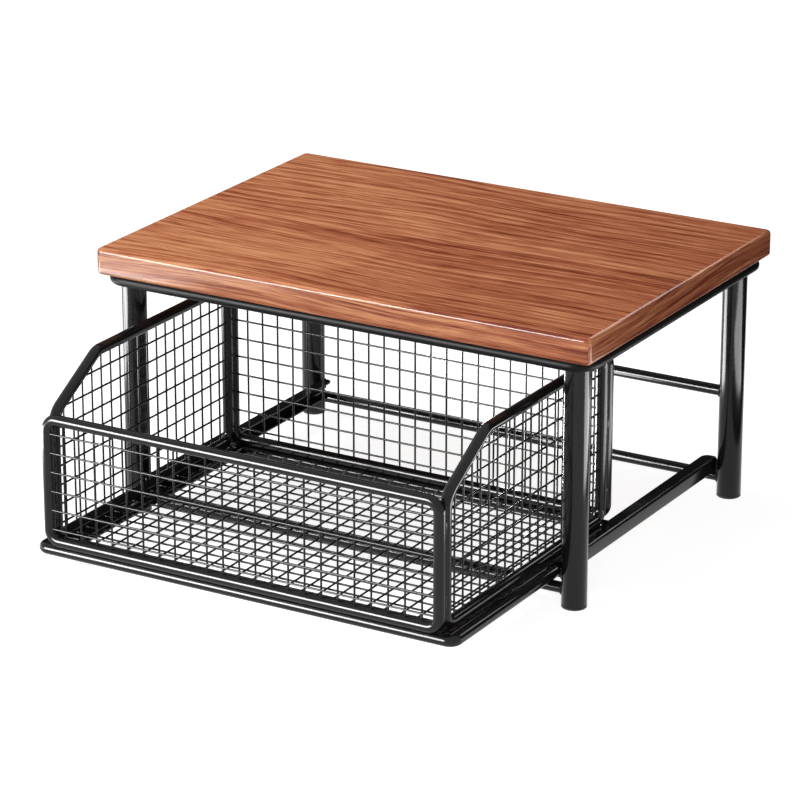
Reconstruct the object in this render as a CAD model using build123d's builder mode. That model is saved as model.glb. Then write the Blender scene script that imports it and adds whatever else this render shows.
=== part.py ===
from build123d import *
import os
from math import atan2, cos, degrees, radians, sin, sqrt, tan

# Countertop shelf with a pull-out wire basket, in millimetres.
# X runs along the front, Y to the rear and Z up from the counter. The origin lies on the counter, under the
# middle of the whole footprint with the basket drawn out as far as basket_pull says.

# Board
board_width = 440.0
board_depth = 316.0
board_thickness = 21.5
board_corner_round = 5.0
board_edge_round = 3.0
shelf_height = 225.0

# Legs and feet
leg_diameter = 20.0
leg_wall = 1.2
leg_inset_x = 21.0
leg_inset_y = 23.0
foot_height = 2.0
foot_round = 1.2
foot_plug_depth = 12.0
foot_plug_clearance = 0.1

# Round rod of the ring, crossbars, slide frame and basket loops
rod_diameter = 9.0
weld_gap = 0.05

# Crossbars, as heights of their axes above the counter
rear_upper_crossbar_height = 89.5
rear_lower_crossbar_height = 15.5
front_lower_crossbar_height = 13.5

# Rails, bent from sheet
rail_height = 13.0
rail_width = 11.5
rail_sheet = 1.2
rail_bend = 2.4
rail_end_round = 6.0
rail_end_gap = 3.0
rail_floor_height = 20.0

# Running clearances of the basket
slide_lift = 0.3
slide_side_gap = 0.5
basket_side_gap = 0.7
basket_stop_gap = 0.5
basket_top_gap = 20.9
slide_front_setback = 1.0
basket_pull = 158.75

# Slide frame: inner radius of its corners, and the ribbed strips along its sides
slide_inner_bend = 1.75
strip_sheet = 1.5
strip_width = 20.0
strip_ribs = 3
rib_width = 3.2
rib_height = 1.0

# Basket loops, as drops of rod axes below the side loops' upper rods
loop_bend = 9.0
slant_bend = 18.0
front_loop_overhang = 2.5
front_drop = 34.6
shoulder_drop = 34.2
slant_run = 58.5

# Mesh
wire_diameter = 1.6
cross_first_rise = 10.0
mesh_rise = 15.6
front_cells = 24
side_cells = 19
floor_wire_overhang = 1.0

# Screw tabs under the board
tab_thickness = 2.0
tab_width = 18.0
tab_hole_reach = 12.0
tab_inset_x = 110.0
screw_diameter = 4.0
screw_head_diameter = 8.0
screw_head_height = 2.6
screw_head_round = 1.2
screw_grip = 12.0
tab_hole_clearance = 0.5
pilot_clearance = 0.05
pilot_spare_depth = 1.0

# Places that follow from the sizes above
leg_radius = leg_diameter / 2
rod_radius = rod_diameter / 2
wire_radius = wire_diameter / 2
rod_pitch = rod_diameter + weld_gap
rod_seat = rod_radius + weld_gap
wire_pitch = wire_diameter + weld_gap
board_bottom = shelf_height - board_thickness
leg_x = board_width / 2 - leg_inset_x
leg_dy = board_depth / 2 - leg_inset_y
ring_bend = leg_radius + rod_seat

# Depths from the middle of the board, front negative
rear_loop_dy = leg_dy - rod_diameter - basket_stop_gap - basket_pull
slide_front_dy = slide_front_setback - leg_dy - basket_pull
front_loop_dy = slide_front_dy - front_loop_overhang
footprint_front_dy = front_loop_dy - rod_radius
board_y = -(footprint_front_dy + board_depth / 2) / 2
slide_front_y = board_y + slide_front_dy
front_loop_y = board_y + front_loop_dy
rear_loop_y = board_y + rear_loop_dy
side_front_y = front_loop_y + rod_pitch
side_rear_y = rear_loop_y - rod_pitch

# Widths from the middle plane, and heights
rail_web_x = leg_x - leg_radius - weld_gap
slide_x = rail_web_x - rail_sheet - slide_side_gap - rod_radius
basket_x = rail_web_x - rail_width - basket_side_gap - rod_radius
slide_z = rail_floor_height + rail_sheet + slide_lift + rod_radius
slide_bend = slide_inner_bend + rod_radius
strip_x = slide_x - rod_seat - strip_width / 2
mid_bar_end_x = strip_x - strip_width / 2 - weld_gap
loop_low_z = slide_z + rod_pitch
floor_cross_z = loop_low_z - rod_seat - wire_radius
floor_long_z = floor_cross_z + wire_pitch
ring_z = board_bottom - rod_seat

# Rises of rod axes above the loops' lower rods; the side loops pass under the ring with the top gap
side_rise = ring_z - rod_diameter - basket_top_gap - loop_low_z
front_rise = side_rise - front_drop
shoulder_rise = side_rise - shoulder_drop

# Mesh pitches: the uprights share each loop's width in equal cells, the cross wires keep one rise
front_pitch = 2 * basket_x / front_cells
side_pitch = (side_rear_y - side_front_y) / side_cells
front_cross_count = int((front_rise - rod_diameter - cross_first_rise) / mesh_rise) + 1
side_cross_count = int((side_rise - rod_diameter - cross_first_rise) / mesh_rise) + 1
mid_bar_y = side_front_y + (side_cells // 2 + 0.5) * side_pitch
slant_angle = degrees(atan2(side_rise - shoulder_rise, slant_run))

# Inner face of a loop's rod, as an off-axis wire beside the loop's plane meets it
wire_seat = sqrt(rod_radius**2 - (wire_radius + weld_gap) ** 2)

os.makedirs("parts", exist_ok=True)


def save(piece, name):
    """Label a finished piece and write its STEP file."""
    piece.part.label = name
    export_step(piece.part, f"parts/{name}.step")


def rod_loop(plane, corners, bends):
    """Closed loop of round rod through the corners, which lie in the plane, with one bend radius or one each."""
    with BuildPart() as loop:
        with BuildLine(plane) as path:
            FilletPolyline(*corners, radius=bends, close=True)
        start = path.wires()[0]
        with BuildSketch(Plane(origin=start @ 0, z_dir=start % 0)):
            Circle(rod_radius)
        sweep(path=start)
    return loop


def rectangle_corners(half_width, low, high):
    """Corners of a rectangle that is centred across and runs from low to high."""
    return [(-half_width, low), (half_width, low), (half_width, high), (-half_width, high)]


# Board with rounded corners and edges, and four blind pilot holes underneath
tab_edge_dy = leg_dy + ring_bend - sqrt(rod_radius**2 - (rod_radius - tab_thickness) ** 2) - weld_gap
screw_dy = tab_edge_dy - tab_hole_reach
tab_x = board_width / 2 - tab_inset_x
screw_places = [(x, board_y + side * screw_dy) for x in (-tab_x, tab_x) for side in (-1, 1)]

with BuildPart() as top_board:
    with BuildSketch(Plane.XY.offset(board_bottom)):
        with Locations((0, board_y)):
            RectangleRounded(board_width, board_depth, board_corner_round)
    extrude(amount=board_thickness)
    faces = top_board.faces().sort_by(Axis.Z)
    fillet(faces[0].edges() + faces[-1].edges(), board_edge_round)
    with BuildSketch(Plane.XY.offset(board_bottom)):
        with Locations(*screw_places):
            Circle(screw_diameter / 2 + pilot_clearance)
    extrude(amount=screw_grip - tab_thickness + pilot_spare_depth, mode=Mode.SUBTRACT)
save(top_board, "top_board")

# Rod ring under the board, bent round the outside of the legs
ring_corners = rectangle_corners(leg_x + ring_bend, board_y - leg_dy - ring_bend, board_y + leg_dy + ring_bend)
top_ring = rod_loop(Plane.XY.offset(ring_z), ring_corners, ring_bend)
save(top_ring, "top_ring")


def leg(x, y):
    """Round tube from the foot to the underside of the board."""
    with BuildPart() as tube:
        with BuildSketch(Plane.XY.offset(foot_height)):
            with Locations((x, y)):
                Circle(leg_radius)
                Circle(leg_radius - leg_wall, mode=Mode.SUBTRACT)
        extrude(amount=board_bottom - foot_height)
    return tube


def foot(x, y):
    """Plug that closes a tube: a disc with a rounded rim below, and a spigot inside the tube."""
    with BuildPart() as plug:
        with BuildSketch():
            with Locations((x, y)):
                Circle(leg_radius)
        extrude(amount=foot_height)
        fillet(plug.edges().group_by(Axis.Z)[0], foot_round)
        with BuildSketch(Plane.XY.offset(foot_height)):
            with Locations((x, y)):
                Circle(leg_radius - leg_wall - foot_plug_clearance)
        extrude(amount=foot_plug_depth)
    return plug


for end, dy in (("front", -leg_dy), ("rear", leg_dy)):
    for hand, x in (("left", -leg_x), ("right", leg_x)):
        save(leg(x, board_y + dy), f"{end}_{hand}_leg")
        save(foot(x, board_y + dy), f"{end}_{hand}_foot")


def rail(side):
    """C-channel along the inner side of the legs, open towards the basket, with rounded flange corners."""
    with BuildPart() as channel:
        with BuildSketch(Plane.XZ.offset(-board_y)) as section:
            middle_z = rail_floor_height + rail_height / 2
            with Locations((side * (rail_web_x - rail_width / 2), middle_z)):
                Rectangle(rail_width, rail_height)
            with Locations((side * (rail_web_x - rail_sheet - rail_width / 2), middle_z)):
                Rectangle(rail_width, rail_height - 2 * rail_sheet, mode=Mode.SUBTRACT)
            fillet(section.vertices().group_by(Axis.X, reverse=side < 0)[1], rail_bend - rail_sheet)
            fillet(section.vertices().group_by(Axis.X, reverse=side < 0)[-1], rail_bend)
        extrude(amount=leg_dy - rail_end_gap, both=True)
        flange_corners = channel.edges().filter_by(Axis.Z).group_by(Axis.X, reverse=side < 0)[0]
        fillet(flange_corners, rail_end_round)
    return channel


save(rail(-1), "left_rail")
save(rail(1), "right_rail")


def crossbar(y, z):
    """Rod between a left and a right leg, with both ends coped to the tubes."""
    with BuildPart() as bar:
        with BuildSketch(Plane.YZ):
            with Locations((y, z)):
                Circle(rod_radius)
        extrude(amount=leg_x, both=True)
        with Locations((-leg_x, y, z), (leg_x, y, z)):
            Cylinder(leg_radius + weld_gap, leg_diameter, mode=Mode.SUBTRACT)
    return bar


save(crossbar(board_y + leg_dy, rear_upper_crossbar_height), "rear_upper_crossbar")
save(crossbar(board_y + leg_dy, rear_lower_crossbar_height), "rear_lower_crossbar")
save(crossbar(board_y - leg_dy, front_lower_crossbar_height), "front_lower_crossbar")

# Four round-ended tabs, welded to the ring's long sides and flush with the board's underside
with BuildPart() as board_tabs:
    with BuildSketch(Plane.XY.offset(board_bottom - tab_thickness)):
        for x, y in screw_places:
            outward = 1 if y > board_y else -1
            with Locations((x, y + outward * tab_hole_reach / 2)):
                Rectangle(tab_width, tab_hole_reach)
            with Locations((x, y)):
                Circle(tab_width / 2)
                Circle(screw_diameter / 2 + tab_hole_clearance, mode=Mode.SUBTRACT)
    extrude(amount=tab_thickness)
save(board_tabs, "board_tabs")

# Four pan-head screws, seated on the tabs
with BuildPart() as board_screws:
    with BuildSketch(Plane.XY.offset(board_bottom - tab_thickness)):
        with Locations(*screw_places):
            Circle(screw_head_diameter / 2)
    extrude(amount=-screw_head_height)
    fillet(board_screws.edges().group_by(Axis.Z)[0], screw_head_round)
    with BuildSketch(Plane.XY.offset(board_bottom - tab_thickness)):
        with Locations(*screw_places):
            Circle(screw_diameter / 2)
    extrude(amount=screw_grip)
save(board_screws, "board_screws")

# Slide frame: a rod loop whose long sides run in the rails
slide_corners = rectangle_corners(slide_x, slide_front_y, rear_loop_y)
slide_frame = rod_loop(Plane.XY.offset(slide_z), slide_corners, slide_bend)
save(slide_frame, "slide_frame")


def slide_strip(side):
    """Flat strip with low rounded ribs along its top, set in the slide frame beside one of its long sides."""
    front_y = slide_front_y + rod_seat
    rear_y = rear_loop_y - rod_seat
    left = side * strip_x - strip_width / 2
    right = left + strip_width
    top = slide_z + strip_sheet / 2
    bottom = slide_z - strip_sheet / 2
    rib_pitch = strip_width / strip_ribs
    with BuildPart() as strip:
        with BuildSketch(Plane.XZ.offset(-front_y)):
            with BuildLine():
                start = left
                for rib in range(strip_ribs):
                    crest = left + (rib + 0.5) * rib_pitch
                    Line((start, top), (crest - rib_width / 2, top))
                    start = crest + rib_width / 2
                    ThreePointArc((crest - rib_width / 2, top), (crest, top + rib_height), (start, top))
                Polyline((start, top), (right, top), (right, bottom), (left, bottom), (left, top))
            make_face()
        extrude(amount=front_y - rear_y)
        corners = strip.edges().filter_by(Axis.Z).group_by(Axis.X, reverse=side > 0)[0]
        fillet(corners, slide_bend - rod_seat)
    return strip


save(slide_strip(-1), "left_slide_strip")
save(slide_strip(1), "right_slide_strip")

# Straight bar across the slide frame, from strip to strip
with BuildPart() as slide_mid_bar:
    with BuildSketch(Plane.YZ):
        with Locations((mid_bar_y, slide_z)):
            Circle(rod_radius)
    extrude(amount=mid_bar_end_x, both=True)
save(slide_mid_bar, "slide_mid_bar")

# Front and rear loops stand on the slide frame's end bars, the front one a little proud of its bar
front_corners = rectangle_corners(basket_x, loop_low_z, loop_low_z + front_rise)
front_loop = rod_loop(Plane.XZ.offset(-front_loop_y), front_corners, loop_bend)
save(front_loop, "front_loop")

rear_corners = rectangle_corners(basket_x, loop_low_z, loop_low_z + side_rise)
rear_loop = rod_loop(Plane.XZ.offset(-rear_loop_y), rear_corners, loop_bend)
save(rear_loop, "rear_loop")

# Side loops stand between them and slope down to the front, with wide bends at the slant's two ends
side_corners = [
    (side_front_y, loop_low_z),
    (side_rear_y, loop_low_z),
    (side_rear_y, loop_low_z + side_rise),
    (side_front_y + slant_run, loop_low_z + side_rise),
    (side_front_y, loop_low_z + shoulder_rise),
]
side_bends = [loop_bend, loop_bend, loop_bend, slant_bend, slant_bend]
for hand, x in (("left", -basket_x), ("right", basket_x)):
    save(rod_loop(Plane.YZ.offset(x), side_corners, side_bends), f"{hand}_side_loop")


def bend_reach(over, bend):
    """Distance from a side's axis to the rod's inner face, at a distance over the start of the side's bend."""
    return bend - sqrt((bend - wire_seat) ** 2 - max(over, 0) ** 2)


def lower_end_reach(rise):
    """Distance that a cross wire at this rise keeps from a side's axis, at the lower bends."""
    return bend_reach(loop_bend - (rise - wire_radius), loop_bend) + weld_gap


def upper_end_reach(rise, loop_rise):
    """Distance that a cross wire at this rise keeps from a side's axis, at the upper bends."""
    return bend_reach(rise + wire_radius - (loop_rise - loop_bend), loop_bend) + weld_gap


def slant_end_reach(rise):
    """Distance that a cross wire at this rise keeps from the front upright's axis, at the shoulder and slant."""
    turn = radians(90 - slant_angle)
    slope = radians(slant_angle)
    over = rise + wire_radius - (shoulder_rise - slant_bend * tan(turn / 2))
    if over <= (slant_bend - wire_seat) * sin(turn):
        return bend_reach(over, slant_bend) + weld_gap
    return (rise + wire_radius - shoulder_rise) / tan(slope) + wire_seat / sin(slope) + weld_gap


def upright_top(along):
    """Rise of the top of a side upright, under the slant or under the top rod."""
    slope = radians(slant_angle)
    under_slant = shoulder_rise + (along - wire_radius) * tan(slope) - rod_radius / cos(slope)
    return min(under_slant, side_rise - rod_radius) - weld_gap


def panel_uprights(y, rise):
    """Upright wires of the front or rear panel, between the loop's lower and upper rods."""
    with BuildPart() as wires:
        with BuildSketch(Plane.XY.offset(loop_low_z + rod_seat)):
            with Locations((0, y)):
                with GridLocations(front_pitch, 0, front_cells - 1, 1):
                    Circle(wire_radius)
        extrude(amount=rise - 2 * rod_seat)
    return wires


def panel_cross_wires(y, loop_rise, count):
    """Cross wires of the front or rear panel, on the uprights' front side."""
    with BuildPart() as wires:
        for row in range(count):
            rise = cross_first_rise + row * mesh_rise
            reach = max(lower_end_reach(rise), upper_end_reach(rise, loop_rise))
            with BuildSketch(Plane.YZ):
                with Locations((y - wire_pitch, loop_low_z + rise)):
                    Circle(wire_radius)
            extrude(amount=basket_x - reach, both=True)
    return wires


def side_uprights(x):
    """Upright wires of a side panel, cut off under the slant."""
    with BuildPart() as wires:
        for cell in range(1, side_cells):
            along = cell * side_pitch
            with BuildSketch(Plane.XY.offset(loop_low_z + rod_seat)):
                with Locations((x, side_front_y + along)):
                    Circle(wire_radius)
            extrude(amount=upright_top(along) - rod_seat)
    return wires


def side_cross_wires(side):
    """Cross wires of a side panel, on the uprights' inner side, the upper ones cut off at the slant."""
    with BuildPart() as wires:
        for row in range(side_cross_count):
            rise = cross_first_rise + row * mesh_rise
            front_end = side_front_y + max(lower_end_reach(rise), slant_end_reach(rise))
            rear_end = side_rear_y - max(lower_end_reach(rise), upper_end_reach(rise, side_rise))
            with BuildSketch(Plane.XZ.offset(-front_end)):
                with Locations((side * (basket_x - wire_pitch), loop_low_z + rise)):
                    Circle(wire_radius)
            extrude(amount=front_end - rear_end)
    return wires


save(panel_uprights(front_loop_y, front_rise), "front_mesh_uprights")
save(panel_cross_wires(front_loop_y, front_rise, front_cross_count), "front_mesh_cross_wires")
save(panel_uprights(rear_loop_y, side_rise), "rear_mesh_uprights")
save(panel_cross_wires(rear_loop_y, side_rise, side_cross_count), "rear_mesh_cross_wires")
for hand, side in (("left", -1), ("right", 1)):
    save(side_uprights(side * basket_x), f"{hand}_mesh_uprights")
    save(side_cross_wires(side), f"{hand}_mesh_cross_wires")

# Floor cross wires, welded under the side loops' lower rods in line with the side uprights
with BuildPart() as floor_cross_wires:
    with BuildSketch(Plane.YZ):
        with Locations(((side_front_y + side_rear_y) / 2, floor_cross_z)):
            with GridLocations(side_pitch, 0, side_cells - 1, 1):
                Circle(wire_radius)
    extrude(amount=basket_x + floor_wire_overhang, both=True)
save(floor_cross_wires, "floor_cross_wires")

# Floor long wires, on the cross wires and the mid bar, butted against the front and rear loops
floor_wire_drop = loop_low_z - floor_long_z - wire_radius
floor_wire_reach = sqrt(rod_radius**2 - floor_wire_drop**2) + weld_gap
floor_wire_length = rear_loop_y - front_loop_y - 2 * floor_wire_reach
with BuildPart() as floor_long_wires:
    with BuildSketch(Plane.XZ.offset(-(front_loop_y + rear_loop_y) / 2)):
        with Locations((0, floor_long_z)):
            with GridLocations(front_pitch, 0, front_cells - 1, 1):
                Circle(wire_radius)
    extrude(amount=floor_wire_length / 2, both=True)
save(floor_long_wires, "floor_long_wires")
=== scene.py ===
"""Looks of a countertop shelf with a pull-out wire basket.

Every piece is a surface worked out in arrays from the boxes of the solids that it stands for, in metres.
"""

from types import SimpleNamespace

import bpy
import numpy as np
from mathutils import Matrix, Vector


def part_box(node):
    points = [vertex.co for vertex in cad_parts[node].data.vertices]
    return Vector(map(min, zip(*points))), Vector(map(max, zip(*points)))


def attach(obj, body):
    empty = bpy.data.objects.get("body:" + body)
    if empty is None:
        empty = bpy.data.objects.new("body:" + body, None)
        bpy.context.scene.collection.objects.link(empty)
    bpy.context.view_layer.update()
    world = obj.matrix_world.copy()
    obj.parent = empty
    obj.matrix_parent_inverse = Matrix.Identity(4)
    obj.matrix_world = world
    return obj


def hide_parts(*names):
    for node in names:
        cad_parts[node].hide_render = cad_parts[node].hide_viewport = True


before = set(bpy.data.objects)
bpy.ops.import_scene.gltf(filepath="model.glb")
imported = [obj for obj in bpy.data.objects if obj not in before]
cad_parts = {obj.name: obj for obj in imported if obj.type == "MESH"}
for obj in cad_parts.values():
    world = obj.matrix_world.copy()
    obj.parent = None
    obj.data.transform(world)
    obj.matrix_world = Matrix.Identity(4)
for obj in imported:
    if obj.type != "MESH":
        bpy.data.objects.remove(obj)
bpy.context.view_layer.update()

bl_info = {
    "name": "Countertop shelf with basket",
    "version": (1, 0, 0),
    "blender": (4, 5, 0),
    "location": "View3D > Sidebar > Shelf",
    "description": "Builds the board, tube frame, rails and sliding wire basket of a countertop shelf",
    "category": "Add Mesh",
}

AXES = X, Y, Z = np.eye(3)
QUARTER = np.pi / 2
ROD_SIDES = 32
SHARP_ANGLE = np.radians(40)
HANDS = (("left", -1), ("right", 1))
ENDS = ("front", "rear")
CROSSBARS = ("rear_upper", "rear_lower", "front_lower")
LAMP_AIM = 0.1 * Z


def length_property(name, description, default):
    """Length in metres that a user may change."""
    return bpy.props.FloatProperty(name=name, description=description, default=default, unit="LENGTH")


def count_property(name, description, default, least=2):
    """Whole number that a user may change."""
    return bpy.props.IntProperty(name=name, description=description, default=default, min=least)


def colour_property(name, description, default):
    """Colour that a user may change."""
    return bpy.props.FloatVectorProperty(
        name=name, description=description, default=default, subtype="COLOR", min=0, max=1)


class ShelfSizes(bpy.types.PropertyGroup):
    """Sizes that the boxes of the solids don't give."""

    board_corner: length_property("Board corner", "Radius of the board's corners in plan", 0.005)
    board_edge: length_property("Board edge", "Radius of the board's long edges", 0.003)
    leg_rim: length_property("Leg rim", "Radius of a leg tube's lower rim", 0.0004)
    screw_head: length_property("Screw head", "Radius of the screws' pan heads", 0.004)
    screw_shank: length_property("Screw shank", "Radius of the screws' shanks", 0.002)
    slide_bend: length_property("Slide bend", "Bend radius of the slide frame's corners", 0.00625)
    loop_bend: length_property("Loop bend", "Bend radius of the basket loops", 0.009)
    slant_bend: length_property("Slant bend", "Bend radius at the ends of a side loop's slant", 0.018)
    weld_gap: length_property("Weld gap", "Gap between welded neighbours in the solids", 0.00005)
    shoulder_drop: length_property("Shoulder drop", "Fall of a side loop's slant", 0.0342)
    slant_run: length_property("Slant run", "Depth over which a side loop slants", 0.0585)
    rod_seat: length_property("Rod seat", "Distance from a rod's axis to what butts against it", 0.00455)
    strip_ribs: count_property("Strip ribs", "Ribs of a slide strip", 3, least=1)
    rib_width: length_property("Rib width", "Width of a slide strip's ribs", 0.0032)
    rib_height: length_property("Rib height", "Height of a slide strip's ribs", 0.001)
    rail_sheet: length_property("Rail sheet", "Thickness of the rails' sheet", 0.0012)
    rail_bend: length_property("Rail bend", "Outer bend radius of the rails", 0.0024)
    rail_end_round: length_property("Rail end round", "Radius of the rails' flange corners", 0.006)
    weld_bead: length_property("Weld bead", "Radius of the weld beads", 0.0011)
    front_wires: count_property("Front wires", "Upright wires of the front and rear panels", 23)
    side_wires: count_property("Side wires", "Upright wires of a side panel", 18)
    front_rows: count_property("Front rows", "Cross wires of the front panel", 6)
    side_rows: count_property("Side rows", "Cross wires of the side and rear panels", 8)


class ShelfColours(bpy.types.PropertyGroup):
    """Colours of the finishes."""

    wood_light: colour_property("Light wood", "Wood between the growth rings", (0.62, 0.278, 0.132))
    wood_middle: colour_property("Middle wood", "Wood of middling tone", (0.43, 0.137, 0.064))
    wood_dark: colour_property("Dark wood", "Wood of the growth rings", (0.17, 0.034, 0.015))
    coat: colour_property("Coat", "Black powder coat", (0.0065, 0.0065, 0.007))
    plastic: colour_property("Feet", "Black plastic of the feet", (0.014, 0.014, 0.014))
    zinc: colour_property("Screws", "Zinc plate of the screws", (0.55, 0.55, 0.56))


# Finishes


def feed(tree, node, values):
    """Set a node's inputs; values maps an input to a number or to the socket that feeds it."""
    for name, value in values.items():
        if isinstance(value, bpy.types.NodeSocket):
            tree.links.new(value, node.inputs[name])
        else:
            node.inputs[name].default_value = value


def add_node(tree, kind, values, **settings):
    """Shader node with its settings and the values of its inputs."""
    node = tree.nodes.new(kind)
    for name, value in settings.items():
        setattr(node, name, value)
    feed(tree, node, values)
    return node


def new_group(name, inputs, outputs):
    """Empty node group with number inputs and outputs, and its two end nodes."""
    group = bpy.data.node_groups.new(name, "ShaderNodeTree")
    for socket, default in inputs.items():
        made = group.interface.new_socket(socket, in_out="INPUT", socket_type="NodeSocketFloat")
        made.default_value = default
    for socket in outputs:
        group.interface.new_socket(socket, in_out="OUTPUT", socket_type="NodeSocketFloat")
    return group, group.nodes.new("NodeGroupInput"), group.nodes.new("NodeGroupOutput")


def peel_group():
    """Skin of a baked coat or moulding: slow waves and fine grains as a height, and cloudy gloss."""
    if "Peel" in bpy.data.node_groups:
        return bpy.data.node_groups["Peel"]
    group, given, result = new_group(
        "Peel", {"Wave scale": 500.0, "Grain scale": 2500.0, "Low gloss": 0.2, "High gloss": 0.3},
        ("Height", "Roughness"))
    place = group.nodes.new("ShaderNodeTexCoord").outputs["Object"]

    def noise(scale, detail, rough=0.5):
        return add_node(group, "ShaderNodeTexNoise", {
            "Vector": place, "Scale": scale, "Detail": detail, "Roughness": rough}).outputs["Fac"]

    height = add_node(group, "ShaderNodeMix", {
        "Factor": 0.3, "A": noise(given.outputs["Wave scale"], detail=1.0),
        "B": noise(given.outputs["Grain scale"], detail=2.0)})
    gloss = add_node(group, "ShaderNodeMapRange", {
        "Value": noise(22.0, detail=4.0, rough=0.6), "From Min": 0.3, "From Max": 0.7,
        "To Min": given.outputs["Low gloss"], "To Max": given.outputs["High gloss"]})
    feed(group, result, {"Height": height.outputs["Result"], "Roughness": gloss.outputs["Result"]})
    return group


def grain_group():
    """Wood figure in (along, across, plank) places: growth rings, fibres, flecks, pores and broad tone.

    Slow noise sways the whole figure across. A ring's phase is the place across times a count, pushed by more
    noise; each ring darkens slowly and ends sharply. The drift is painted shade: it darkens the wood along
    the plank, towards the right end of the top and sides, and on both end faces.
    """
    if "Grain" in bpy.data.node_groups:
        return bpy.data.node_groups["Grain"]
    group, given, result = new_group(
        "Grain", {"Rings per metre": 78.0, "Wander": 3.5, "Sway": 0.032, "Painted shade drift": 0.25}, ("Tone", "Fibre"))
    plank_apart = 9.0

    def noise(where, along, across, detail, rough=0.55):
        stretched = add_node(
            group, "ShaderNodeVectorMath", {0: where, 1: (along, across, plank_apart)}, operation="MULTIPLY")
        return add_node(group, "ShaderNodeTexNoise", {
            "Vector": stretched.outputs["Vector"], "Scale": 1.0,
            "Detail": detail, "Roughness": rough}).outputs["Fac"]

    def math(operation, first, second):
        return add_node(group, "ShaderNodeMath", {0: first, 1: second}, operation=operation).outputs["Value"]

    def about_zero(value, size):
        return math("MULTIPLY", math("SUBTRACT", value, 0.5), size)

    def span(value, low, high, to_low=0.0, to_high=1.0):
        return add_node(group, "ShaderNodeMapRange", {
            "Value": value, "From Min": low, "From Max": high,
            "To Min": to_low, "To Max": to_high}).outputs["Result"]

    plain = add_node(group, "ShaderNodeAttribute", {}, attribute_name="grain_place").outputs["Vector"]
    sway = about_zero(noise(plain, along=2.6, across=6.0, detail=1.0), given.outputs["Sway"])
    shift = add_node(group, "ShaderNodeCombineXYZ", {"Y": sway}).outputs["Vector"]
    place = add_node(group, "ShaderNodeVectorMath", {0: plain, 1: shift}).outputs["Vector"]
    split = add_node(group, "ShaderNodeSeparateXYZ", {"Vector": place}).outputs

    push = about_zero(noise(place, along=2.6, across=8.0, detail=2.0), given.outputs["Wander"])
    ruffle = math("MULTIPLY", noise(place, along=16.0, across=45.0, detail=2.0), 0.6)
    count = math("MULTIPLY", split["Y"], given.outputs["Rings per metre"])
    phase = math("FRACT", math("ADD", count, math("ADD", push, ruffle)), 0.0)
    ring = add_node(group, "ShaderNodeValToRGB", {"Fac": phase})
    shades = ((0.0, 0.75), (0.14, 0.05), (0.55, 0.25), (0.9, 0.9), (1.0, 0.75))
    set_stops(ring, [(position, (shade,) * 3) for position, shade in shades])
    clear = span(noise(place, along=3.5, across=24.0, detail=2.0), 0.35, 0.65, 0.25, 1.0)
    rings = math("MULTIPLY", ring.outputs["Color"], clear)
    fibre = span(noise(place, along=5.0, across=210.0, detail=4.0, rough=0.65), 0.32, 0.68)
    fleck = span(noise(place, along=15.0, across=400.0, detail=3.0, rough=0.6), 0.32, 0.68)
    broad = span(noise(place, along=3.5, across=15.0, detail=2.0), 0.3, 0.7)
    pore = span(noise(place, along=32.0, across=950.0, detail=2.0), 0.57, 0.66)

    # Painted shade: the drift darkens the wood along each sheet, towards the right and on the end faces
    tone = math("MULTIPLY", split["X"], given.outputs["Painted shade drift"])
    for part, weight in ((rings, 0.36), (fibre, 0.3), (fleck, 0.42), (broad, 0.15), (pore, 0.26)):
        tone = math("ADD", tone, math("MULTIPLY", part, weight))
    feed(group, result, {"Tone": tone, "Fibre": fibre})
    return group


def set_stops(ramp, stops):
    """Stops of a new colour ramp as (position, colour) pairs in order."""
    elements = ramp.color_ramp.elements
    first, *between, last = stops
    for index, (position, colour) in enumerate((first, last)):
        elements[index].position = position
        elements[index].color = (*colour, 1)
    for position, colour in between:
        elements.new(position).color = (*colour, 1)


def new_material(name):
    """Material of one Principled shader, with its tree and that shader."""
    material = bpy.data.materials.new(name)
    material.use_nodes = True
    return material, material.node_tree, material.node_tree.nodes["Principled BSDF"]


def bump(tree, shader, height, depth):
    """Small relief of a height on a shader, depth in metres."""
    relief = add_node(tree, "ShaderNodeBump", {"Height": height, "Strength": 1.0, "Distance": depth})
    feed(tree, shader, {"Normal": relief.outputs["Normal"]})


def cloud_skin(tree, shader, colour, shades, values):
    """Peel group on a shader: cloudy gloss and a colour between two shades; gives the skin's height."""
    skin = add_node(tree, "ShaderNodeGroup", values, node_tree=peel_group()).outputs
    dark, light = (tuple(part * shade for part in colour) + (1,) for shade in shades)
    mix = add_node(tree, "ShaderNodeMix", {"Factor": skin["Height"], "A": dark, "B": light}, data_type="RGBA")
    feed(tree, shader, {"Base Color": mix.outputs["Result"], "Roughness": skin["Roughness"]})
    return skin["Height"]


def coat_finish(name, colour, gloss, level, scales=(420.0, 2600.0), depth=0.000012):
    """Black coat or moulding: cloudy gloss and a skin of waves and grains, given by their two scales."""
    material, tree, shader = new_material(name)
    height = cloud_skin(tree, shader, colour, (0.8, 1.25), {
        "Wave scale": scales[0], "Grain scale": scales[1], "Low gloss": gloss[0], "High gloss": gloss[1]})
    feed(tree, shader, {"Specular IOR Level": level})
    bump(tree, shader, height, depth)
    return material


def zinc_finish(name, colour):
    """Zinc plate with a cloudy gloss."""
    material, tree, shader = new_material(name)
    cloud_skin(tree, shader, colour, (0.85, 1.0), {"Low gloss": 0.25, "High gloss": 0.4})
    feed(tree, shader, {"Metallic": 1.0})
    return material


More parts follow.
